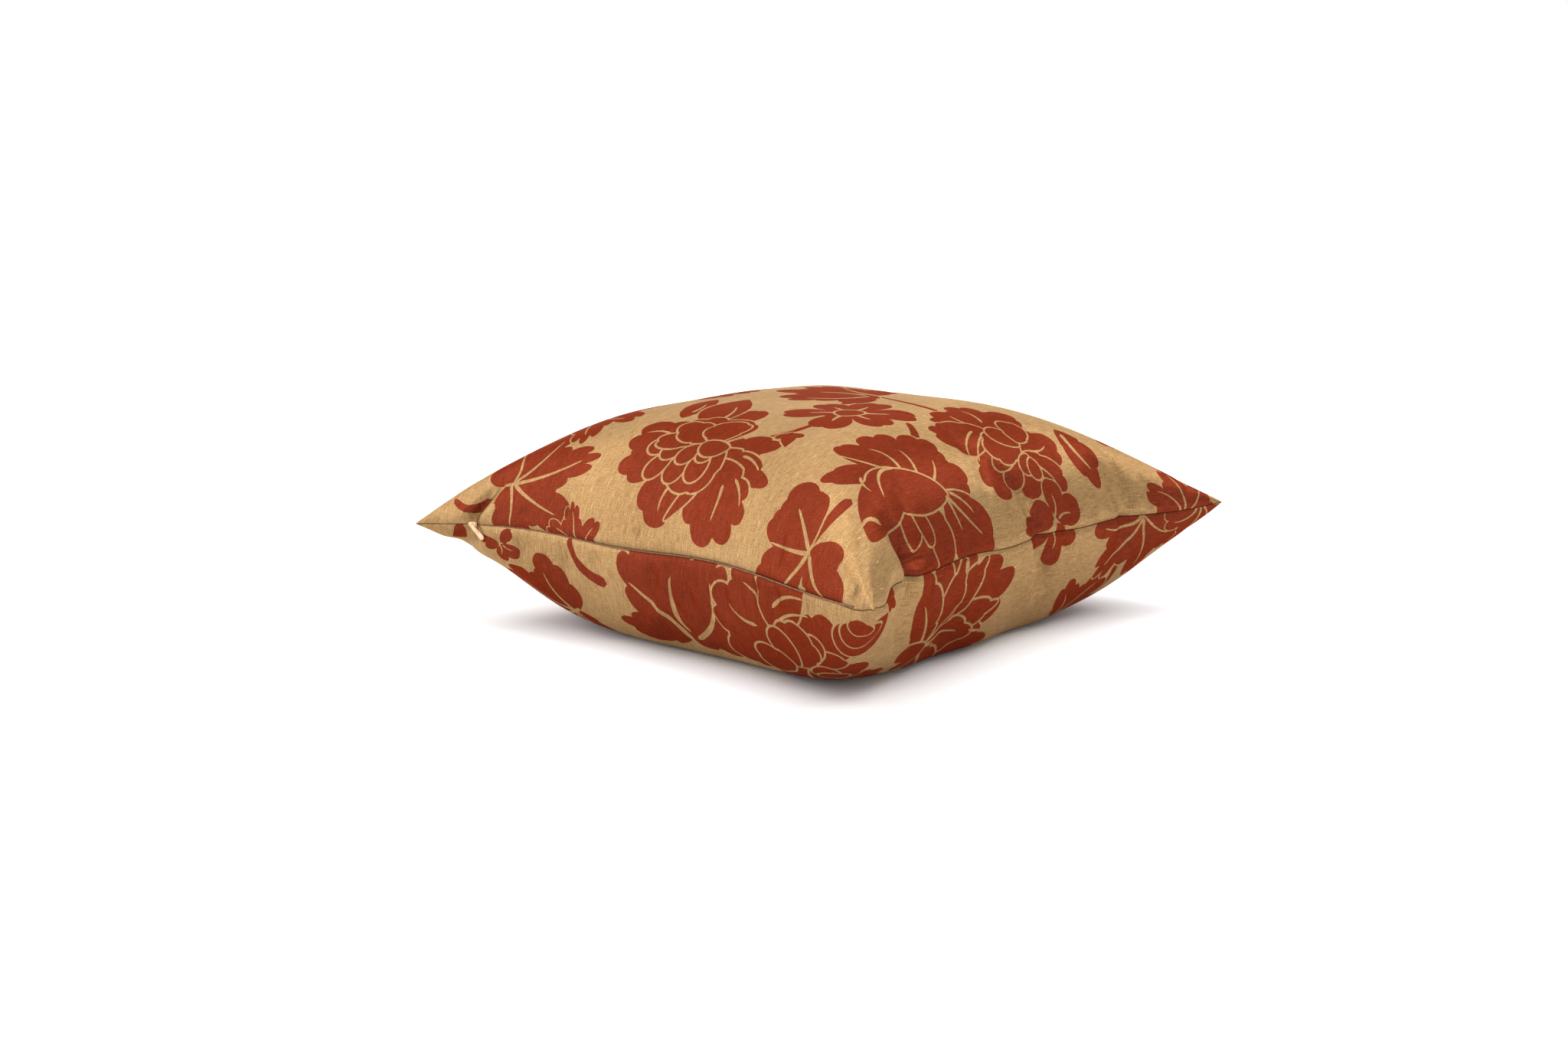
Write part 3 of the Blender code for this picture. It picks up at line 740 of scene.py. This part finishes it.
# Where each motif lies on its panel, in millimetres from the panel's middle, its turn and its size
PLACES = {
    TOP: (
        (hanging_peony, 0, -136, 0, 1.0), (small_flower, 56, -40, 12, 1.0), (bud, 60, -108, -150, 0.8),
        (lobed_leaf, -148, -192, -72, 0.84), (lobed_leaf, -134, -96, -160, 0.7),
        (clover_leaf, 146, -197, 0, 1.0), (cupped_peony, 163, -100, 0, 1.0), (open_peony, 141, 35, 0, 0.88),
        (falling_leaf, 12, 42, 112, 1.0), (single_leaf, 144, 103, -88, 1.0), (sprig, 215, 50, 0, 0.74),
        (lobed_leaf, 144, 168, 110, 0.5), (lobed_leaf, 232, 188, 88, 0.55),
        (lobed_leaf, -78, -236, 5, 0.42), (cupped_peony, -134, -2, 205, 0.95),
        (small_flower, -204, -98, 0, 0.75), (clover_leaf, -192, 104, 0, 1.0),
        (hanging_peony, -78, 158, 120, 1.0), (open_peony, 60, 172, 60, 0.95),
        (lobed_leaf, -178, 196, 40, 0.75),
    ),
    BOTTOM: (
        (sprig, -150, -209, -78, 0.4), (falling_leaf, 16, -162, 180, 1.12),
        (lobed_leaf, -94, -162, 60, 0.85), (open_peony, 114, -182, 30, 1.0),
        (nodding_cup, 182, -178, 226, 0.95), (fanned_flower, 166, -96, -30, 1.12),
        (sprig, 231, 42, 0, 0.74), (lobed_leaf, 146, 84, -6, 0.66), (lobed_leaf, 226, 150, 128, 0.7),
        (lobed_leaf, 230, 205, 110, 0.5), (cupped_peony, -14, -60, 160, 0.95),
        (lobed_leaf, 84, -60, 30, 0.7), (small_flower, -112, -100, 0, 0.9), (open_peony, 74, 46, 200, 0.9),
        (hanging_peony, -152, 10, 70, 0.95), (clover_leaf, -38, 66, 60, 0.9),
        (small_flower, 130, 170, 20, 1.0), (cupped_peony, 20, 160, 30, 1.0),
        (lobed_leaf, -90, 170, 60, 0.9), (falling_leaf, -186, 150, 100, 0.9),
        (small_flower, -196, -110, 0, 0.6),
    ),
}
STEMS = {
    TOP: (
        Vein(28, -127, 62, -120, 60, -84, 5.5), Vein(145, -197, 154, -182, 155, -150, 10),
        Vein(100, -26, 118, -36, 134, -56, 8), Vein(12, 44, 40, 30, 92, 22, 5),
        Vein(-197, -205, -180, -222, -165, -204, 8),
    ),
    BOTTOM: (
        Vein(-84, -226, -78, -200, -50, -197, 9), Vein(-172, -216, -164, -206, -150, -208, 5),
        Vein(-187, -228, -188, -214, -194, -203, 11), Vein(198, 132, 170, 130, 158, 112, 6),
    ),
}


def pattern(panel):
    """All the shapes of one panel, in metres, in the order they are painted."""
    shapes = [Shape(RED, vein(stem, 0.55, 1.0) * MM) for stem in STEMS[panel]]
    for motif, x, y, turn, size in PLACES[panel]:
        for shape in motif():
            shapes.append(Shape(shape.colour, turned(shape.outline, turn, (x, y), size) * MM))
    return shapes


# ---- The cover's mesh: a net of triangles whose edges follow the borders of the pattern
PANEL_CELLS = 150
EVEN_SPACING = 0.45
BORDER_PROBE = 0.3 * MM
EDGE_MARGIN = 0.6 * MM
CLEAR_OF_BORDER = 0.9 * MM


def spaced(share):
    """Even steps from -1 to 1 made closer towards both ends, where the cloth turns sharply."""
    return (1 - EVEN_SPACING) * np.sin(share * math.pi / 2) + EVEN_SPACING * share


def wound(points, outline):
    """Whether an outline goes round each point."""
    turns = np.zeros(len(points), int)
    for a, b in zip(outline, np.roll(outline, -1, axis=0)):
        side = (b[0] - a[0]) * (points[:, 1] - a[1]) - (points[:, 0] - a[0]) * (b[1] - a[1])
        turns += (a[1] <= points[:, 1]) & (b[1] > points[:, 1]) & (side > 0)
        turns -= (a[1] > points[:, 1]) & (b[1] <= points[:, 1]) & (side < 0)
    return turns != 0


def colours_at(points, shapes):
    """The colour of each point of a flat panel, which is that of the last shape over it."""
    colours = np.full(len(points), GOLD)
    for shape in shapes:
        low, high = shape.outline.min(axis=0), shape.outline.max(axis=0)
        near = np.flatnonzero(((points >= low) & (points <= high)).all(axis=1))
        if len(near):
            inside = near[wound(points[near], shape.outline)]
            colours[inside] = shape.colour
    return colours


def borders(shapes):
    """The stretches of outline where red meets gold, as pairs of points."""
    starts = np.concatenate([shape.outline for shape in shapes])
    ends = np.concatenate([np.roll(shape.outline, -1, axis=0) for shape in shapes])
    inside = np.maximum(np.abs(starts), np.abs(ends)).max(axis=1) < HALF - EDGE_MARGIN
    starts, ends = starts[inside], ends[inside]
    ahead = unit(ends - starts)
    side = np.stack([-ahead[:, 1], ahead[:, 0]], axis=-1) * BORDER_PROBE
    parted = np.zeros(len(starts), bool)
    for share in (0.1, 0.5, 0.9):
        middle = starts + (ends - starts) * share
        parted |= colours_at(middle + side, shapes) != colours_at(middle - side, shapes)
    return starts[parted], ends[parted]


def panel_net(panel):
    """One panel drawn flat along the pattern's borders: its points, its triangles and their colours."""
    shapes = pattern(panel)
    starts, ends = borders(shapes)
    tree = kdtree.KDTree(len(starts))
    for i, point in enumerate(starts):
        tree.insert((*point, 0), i)
    tree.balance()
    steps = HALF * spaced(np.linspace(-1, 1, PANEL_CELLS + 1))
    net = [
        (x, y)
        for x in steps
        for y in steps
        if max(abs(x), abs(y)) > HALF - EDGE_MARGIN or tree.find((x, y, 0))[2] > CLEAR_OF_BORDER
    ]
    points = [Vector(p) for p in net] + [Vector(p) for pair in zip(starts, ends) for p in pair]
    edges = [(len(net) + 2 * i, len(net) + 2 * i + 1) for i in range(len(starts))]
    flat, _, faces, _, _, _ = geometry.delaunay_2d_cdt(points, edges, [], 0, SEAM_WELD)
    flat = np.array([tuple(p) for p in flat]).clip(-HALF, HALF)
    faces = np.array([tuple(face) for face in faces])
    return flat, faces, colours_at(flat[faces].mean(axis=1), shapes)


def sewn(flat, panel, numbers):
    """The numbers of a panel's points. Those on the seam are shared, so the cover is closed all round."""
    for i, point in enumerate(flat):
        on_seam = from_seam(*point) <= SEAM_WELD
        place = tuple(np.round(point / SEAM_WELD).astype(int)) if on_seam else (panel, i)
        yield numbers.setdefault(place, len(numbers))


def make_cover():
    """The filled cover, closed along its seam. Its UV map holds each point's place on the flat cloth, in
    metres."""
    known, points = {}, []
    corners, colours, places, normals = [], [], [], []
    for panel in (TOP, BOTTOM):
        flat, faces, colour = panel_net(panel)
        faces = faces if panel == TOP else faces[:, ::-1]
        numbers = np.fromiter(sewn(flat, panel, known), int)
        points.append((numbers, settled(flat[:, 0], flat[:, 1], panel)))
        corners.append(numbers[faces])
        colours.append(colour)
        places.append(flat[faces].reshape(-1, 2) + (0 if panel == TOP else COVER))
        normals.append(faced(settled, flat[:, 0], flat[:, 1], panel)[faces].reshape(-1, 3))
    placed = np.zeros((len(known), 3))
    for numbers, where in points:
        placed[numbers] = where
    mesh = bpy.data.meshes.new("cover")
    mesh.from_pydata(placed.tolist(), [], np.concatenate(corners).tolist())
    mesh.polygons.foreach_set("material_index", np.concatenate(colours))
    cloth_map = mesh.uv_layers.new(name="cloth")
    cloth_map.uv.foreach_set("vector", np.concatenate(places).ravel())
    mesh.normals_split_custom_set(np.concatenate(normals).tolist())
    return added("cover", mesh)


# ---- The zip: woven tape in the seam's groove with its coil's ribs, sunk near the slider and then rising
SLIDER_AT = -175.5 * MM
SLIDER_LENGTH = 6.5 * MM
TAPE_GAP = 0.7 * MM
TAPE_END = 200 * MM
TAPE_STEPS = 60
TAPE_SIZES = {"Width": 1.0 * MM, "Thickness": 0.5 * MM, "Rib Spacing": 1.2 * MM, "Rib Thickness": 0.45 * MM}
COIL_STAND = 1.0 * MM
COIL_SUNK = 0.1 * MM
COIL_RISES_AT = -90 * MM
COIL_RISES_IN = 50 * MM


def zip_tree(material):
    """Geometry nodes that sweep a tape along a line and set ribs across it."""
    tree = bpy.data.node_groups.new("zip tape", "GeometryNodeTree")
    face = tree.interface
    face.new_socket("Line", in_out="INPUT", socket_type="NodeSocketGeometry")
    for name in TAPE_SIZES:
        face.new_socket(name, in_out="INPUT", socket_type="NodeSocketFloat")
    face.new_socket("Tape", in_out="OUTPUT", socket_type="NodeSocketGeometry")
    given = add_node(tree, "NodeGroupInput")
    line, width, thickness, spacing, rib = given.outputs[:5]
    sides = [(thickness, "Width"), (width, "Height")]
    section = add_node(tree, "GeometryNodeCurvePrimitiveQuadrilateral", sides)
    swept = [(line, "Curve"), (section.outputs[0], "Profile Curve")]
    tape = add_node(tree, "GeometryNodeCurveToMesh", swept, Fill_Caps=True)
    steps = [(line, "Curve"), (spacing, "Length")]
    points = add_node(tree, "GeometryNodeCurveToPoints", steps, mode="LENGTH")
    size = add_node(tree, "ShaderNodeCombineXYZ", [(rib, "Z"), (rib, "Y"), (width, "X")])
    ball = add_node(tree, "GeometryNodeMeshUVSphere", Segments=10, Rings=6, Radius=0.5)
    placed = [(points.outputs[name], name) for name in ("Points", "Rotation")]
    shaped = [(ball.outputs[0], "Instance"), (size.outputs[0], "Scale")]
    ribs = add_node(tree, "GeometryNodeInstanceOnPoints", placed + shaped)
    both = add_node(tree, "GeometryNodeJoinGeometry")
    tree.links.new(ribs.outputs[0], both.inputs[0])
    tree.links.new(tape.outputs[0], both.inputs[0])
    real = add_node(tree, "GeometryNodeRealizeInstances", [(both.outputs[0], "Geometry")])
    finish = add_node(tree, "GeometryNodeSetMaterial", [(real.outputs[0], "Geometry")])
    finish.inputs["Material"].default_value = material
    add_node(tree, "NodeGroupOutput", [(finish.outputs[0], "Tape")])
    return tree


def make_zip(material):
    """The zip between its slider and the far end of the opening, as a plain mesh."""
    curve = bpy.data.curves.new("zip line", "CURVE")
    curve.dimensions = "3D"
    curve.twist_mode = "Z_UP"
    start = SLIDER_AT + SLIDER_LENGTH / 2 + TAPE_GAP
    line = curve.splines.new("POLY")
    line.points.add(TAPE_STEPS - 1)
    for point, u in zip(line.points, np.linspace(start, TAPE_END, TAPE_STEPS)):
        risen = smooth((u - COIL_RISES_AT) / COIL_RISES_IN)
        point.co = (*above_seam(u, COIL_SUNK + (COIL_STAND - COIL_SUNK) * risen), 1)
    source = added("zip line", curve)
    modifier = source.modifiers.new("zip tape", "NODES")
    modifier.node_group = zip_tree(material)
    for item in modifier.node_group.interface.items_tree:
        if item.name in TAPE_SIZES:
            modifier[item.identifier] = TAPE_SIZES[item.name]
    graph = bpy.context.evaluated_depsgraph_get()
    mesh = bpy.data.meshes.new_from_object(source.evaluated_get(graph))
    bpy.data.objects.remove(source)
    return added("zip_coil", mesh)


# ---- Materials
# The painted seam shade: how wide the dark line painted along each seam is, and its colour
SEAM_SHADE_WIDTH = 0.6 * MM
SEAM_SHADOW = "2c1408"


def linear(hex_colour):
    """A colour given as it looks on a screen, as light."""
    shares = [int(hex_colour[i : i + 2], 16) / 255 for i in (0, 2, 4)]
    return tuple(s / 12.92 if s <= 0.04045 else ((s + 0.055) / 1.055) ** 2.4 for s in shares)


def add_node(tree, kind, links=(), **settings):
    """Adds a node with its settings. A setting whose name is a socket's goes to that socket."""
    node = tree.nodes.new(kind)
    for name, value in settings.items():
        if hasattr(node, name):
            setattr(node, name, value)
        else:
            node.inputs[name.replace("_", " ")].default_value = value
    for source, target in links:
        tree.links.new(source, node.inputs[target])
    return node


def new_material(name, colour, **settings):
    """A node material with the plain settings of its shader, each named for its socket."""
    material = bpy.data.materials.new(name)
    material.use_nodes = True
    tree = material.node_tree
    shader = tree.nodes["Principled BSDF"]
    shader.inputs["Base Color"].default_value = (*linear(colour), 1)
    for socket, value in settings.items():
        shader.inputs[socket.replace("_", " ")].default_value = value
    return material, tree, shader


def noise_along(tree, place, across, along, detail=2.0):
    """Noise whose grains measure so much across and along, in metres, and as much upwards as across."""
    scale = (1 / across, 1 / along, 1 / across)
    scaled = add_node(tree, "ShaderNodeMapping", [(place, "Vector")], Scale=scale)
    grains = add_node(tree, "ShaderNodeTexNoise", [(scaled.outputs[0], "Vector")], Scale=1.0, Detail=detail)
    return grains.outputs["Fac"]


def spread(tree, value, low, high, to_low=0.0, to_high=1.0):
    """A value's range from low to high spread to another range, and held at its ends."""
    ends = {"From_Min": low, "From_Max": high, "To_Min": to_low, "To_Max": to_high}
    return add_node(tree, "ShaderNodeMapRange", [(value, "Value")], **ends).outputs["Result"]


def blended(tree, factor, first, second):
    """A colour between two, each of them a hex value or another node's output."""
    mix = add_node(tree, "ShaderNodeMix", [(factor, "Factor")], data_type="RGBA")
    for place, colour in ((6, first), (7, second)):
        if isinstance(colour, str):
            mix.inputs[place].default_value = (*linear(colour), 1)
        else:
            tree.links.new(colour, mix.inputs[place])
    return mix.outputs[2]


def total(tree, first, second, share):
    """One value plus a share of another."""
    node = add_node(tree, "ShaderNodeMath", [(second, 0), (first, 2)], operation="MULTIPLY_ADD")
    node.inputs[1].default_value = share
    return node.outputs[0]


def raised(tree, shader, height, **sizes):
    """Gives a shader the fine relief of a height."""
    bump = add_node(tree, "ShaderNodeBump", [(height, "Height")], **sizes)
    tree.links.new(bump.outputs[0], shader.inputs["Normal"])


def seam_shade_mask(tree, place):
    """How near a point of the cloth is to a seam, 1 on it. A dark line of painted shade goes there, standing
    in for the shadow in the seam's groove.
    """
    parts = add_node(tree, "ShaderNodeSeparateXYZ", [(place, 0)])
    furthest = add_node(tree, "ShaderNodeMath", operation="MAXIMUM")
    for k in (0, 1):
        across = add_node(tree, "ShaderNodeMath", [(parts.outputs[k], 0)], operation="PINGPONG")
        across.inputs[1].default_value = HALF
        tree.links.new(across.outputs[0], furthest.inputs[k])
    return spread(tree, furthest.outputs[0], HALF - SEAM_SHADE_WIDTH, HALF)


def satin(name, shade, face, slub, edge, **settings):
    """Satin weave of fine filament yarns, whose gloss is drawn out one way. The real threads are 0.15 mm
    apart and are drawn 0.9 mm apart here, with 0.8 mm specks for their crossings, so that they show. Thicker
    slubs run along some of them, bands of thread differ a little in tone, and so does the whole cloth."""
    gloss = {"Specular_Tint": (*linear(edge), 1), "Anisotropic": 0.9, "Anisotropic_Rotation": 0.25}
    material, tree, shader = new_material(name, face, **gloss, **settings)
    place = add_node(tree, "ShaderNodeUVMap", uv_map="cloth").outputs[0]
    threads = noise_along(tree, place, 0.9 * MM, 8 * MM)
    weft = noise_along(tree, place, 6 * MM, 0.9 * MM)
    slubs = noise_along(tree, place, 1.0 * MM, 13 * MM, 1.0)
    cloud = noise_along(tree, place, 60 * MM, 90 * MM, 3.0)
    bands = noise_along(tree, place, 3 * MM, 70 * MM)
    specks = noise_along(tree, place, 0.8 * MM, 0.8 * MM)
    weave = total(tree, threads, weft, 0.7)
    thick = spread(tree, slubs, 0.71, 0.77)
    tone = spread(tree, weave, 0.6, 1.1)
    for grains, share in ((cloud, 0.35), (bands, 0.25), (specks, 0.9)):
        tone = total(tree, tone, spread(tree, grains, 0.3, 0.7, -0.5, 0.5), share)
    colour = blended(tree, thick, blended(tree, tone, shade, face), slub)
    # Painted shade: the shadow in the seam's groove, painted as a dark line along each seam
    colour = blended(tree, seam_shade_mask(tree, place), colour, SEAM_SHADOW)
    tree.links.new(colour, shader.inputs["Base Color"])
    raised(tree, shader, total(tree, weave, thick, 0.8), Strength=0.35, Distance=0.25 * MM)
    along = add_node(tree, "ShaderNodeTangent", direction_type="UV_MAP", uv_map="cloth")
    tree.links.new(along.outputs[0], shader.inputs["Tangent"])
    return material


def gold_satin():
    """The ground of the weave, in gold: a wide, soft, metallic gloss that pales towards grazing light."""
    gloss = {"Metallic": 0.7, "Roughness": 0.45, "Specular_IOR_Level": 0.1}
    return satin("gold satin weave", "84633d", "a6855a", "c9a372", "fff0dc", **gloss)


def red_satin():
    """The figure of the weave, in brick red: a closer and less metallic gloss that stays red."""
    gloss = {"Metallic": 0.5, "Roughness": 0.34, "Specular_IOR_Level": 0.0}
    return satin("red satin weave", "602515", "773120", "8a3e28", "ffb4a0", **gloss)


def mottled(tree, shader, grain, low, high):
    """Gives a shader two colours that change over grains of a size, and returns the grains."""
    place = add_node(tree, "ShaderNodeTexCoord").outputs["Object"]
    grains = noise_along(tree, place, grain, grain)
    tree.links.new(blended(tree, spread(tree, grains, 0.35, 0.65), low, high), shader.inputs["Base Color"])
    return grains


def woven_tape():
    """Woven polyester tape, matt. Its threads, 0.3 mm apart, are drawn 0.8 mm apart so that they show."""
    finish = {"Roughness": 0.8, "Specular_IOR_Level": 0.0}
    material, tree, shader = new_material("woven polyester tape", "7c5e4a", **finish)
    grains = mottled(tree, shader, 0.8333 * MM, "5c4232", "8a684e")
    raised(tree, shader, grains, Strength=0.3, Distance=0.2 * MM)
    return material


def painted_metal():
    """Zinc alloy under smooth cream enamel: a clean highlight on a warm colour that varies a little."""
    finish = {"Roughness": 0.3, "Specular_IOR_Level": 0.3}
    material, tree, shader = new_material("cream enamelled zinc", "d2a888", **finish)
    mottled(tree, shader, 2.857 * MM, "cba27c", "e4c29a")
    return material


# ---- The studio: a white floor under three wide softboxes and a white surround
FLOOR_SIZE = 40


def make_floor():
    """A plain white floor, with no edge in sight."""
    mesh = bpy.data.meshes.new("floor")
    bm = bmesh.new()
    bmesh.ops.create_grid(bm, x_segments=1, y_segments=1, size=FLOOR_SIZE)
    bm.to_mesh(mesh)
    bm.free()
    floor = added("floor", mesh)
    mesh.materials.append(new_material("matt white paper", "e7e7e8", Roughness=0.9)[0])


def aimed(location, target, roll=0.0):
    """A place that looks from a location at a target, as cameras and lamps do, along its own -Z."""
    away = (Vector(location) - Vector(target)).normalized()
    right = Vector((0, 0, 1)).cross(away).normalized()
    up = away.cross(right)
    turned_frame = Matrix((right, up, away)).transposed().to_4x4()
    return Matrix.Translation(location) @ turned_frame @ Matrix.Rotation(math.radians(roll), 4, "Z")


def make_sun(name, location, softness, strength):
    """A far lamp that lights the whole floor alike. Its softness is the angle it fills, in degrees."""
    light = bpy.data.lights.new(name, "SUN")
    light.angle = math.radians(softness)
    light.energy = strength
    added(name, light).matrix_world = aimed(location, (0, 0, 0))


def make_camera():
    """The camera where the photo was taken from."""
    around, up = math.radians(CAMERA_AROUND), math.radians(CAMERA_UP)
    away = Vector((math.sin(around) * math.cos(up), -math.cos(around) * math.cos(up), math.sin(up)))
    camera = added("camera", bpy.data.cameras.new("camera"))
    camera.data.lens = CAMERA_LENS
    camera.data.sensor_width = CAMERA_SENSOR
    camera.matrix_world = aimed(CAMERA_AIM + away * CAMERA_DISTANCE, CAMERA_AIM, CAMERA_ROLL)
    bpy.context.scene.camera = camera


def make_studio():
    """The floor and the lights, in plain white."""
    make_floor()
    make_sun("softbox behind", (0.45, 0.35, 1.0), 45, 1.9)
    make_sun("softbox above", (-0.3, -0.25, 1.0), 45, 1.6)
    make_sun("softbox on the left", (-0.76, -0.65, 0.55), 60, 1.4)
    world = bpy.data.worlds.new("studio")
    world.use_nodes = True
    background = world.node_tree.nodes["Background"]
    background.inputs["Color"].default_value = (*linear("ffffff"), 1)
    background.inputs["Strength"].default_value = 1.0
    bpy.context.scene.world = world
    bpy.context.scene.view_settings.view_transform = "Standard"


def main():
    """The camera first, then the cover, the zip and the studio."""
    make_camera()
    cover = make_cover()
    for material in (gold_satin(), red_satin()):
        cover.data.materials.append(material)
    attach(cover, "root")
    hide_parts("cushion")
    zip_coil = make_zip(woven_tape())
    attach(zip_coil, "root")
    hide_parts("zip_tape")
    for node in ("zip_slider", "zip_pull"):
        bpy.data.objects[node].material_slots[0].material = painted_metal()
    make_studio()


main()
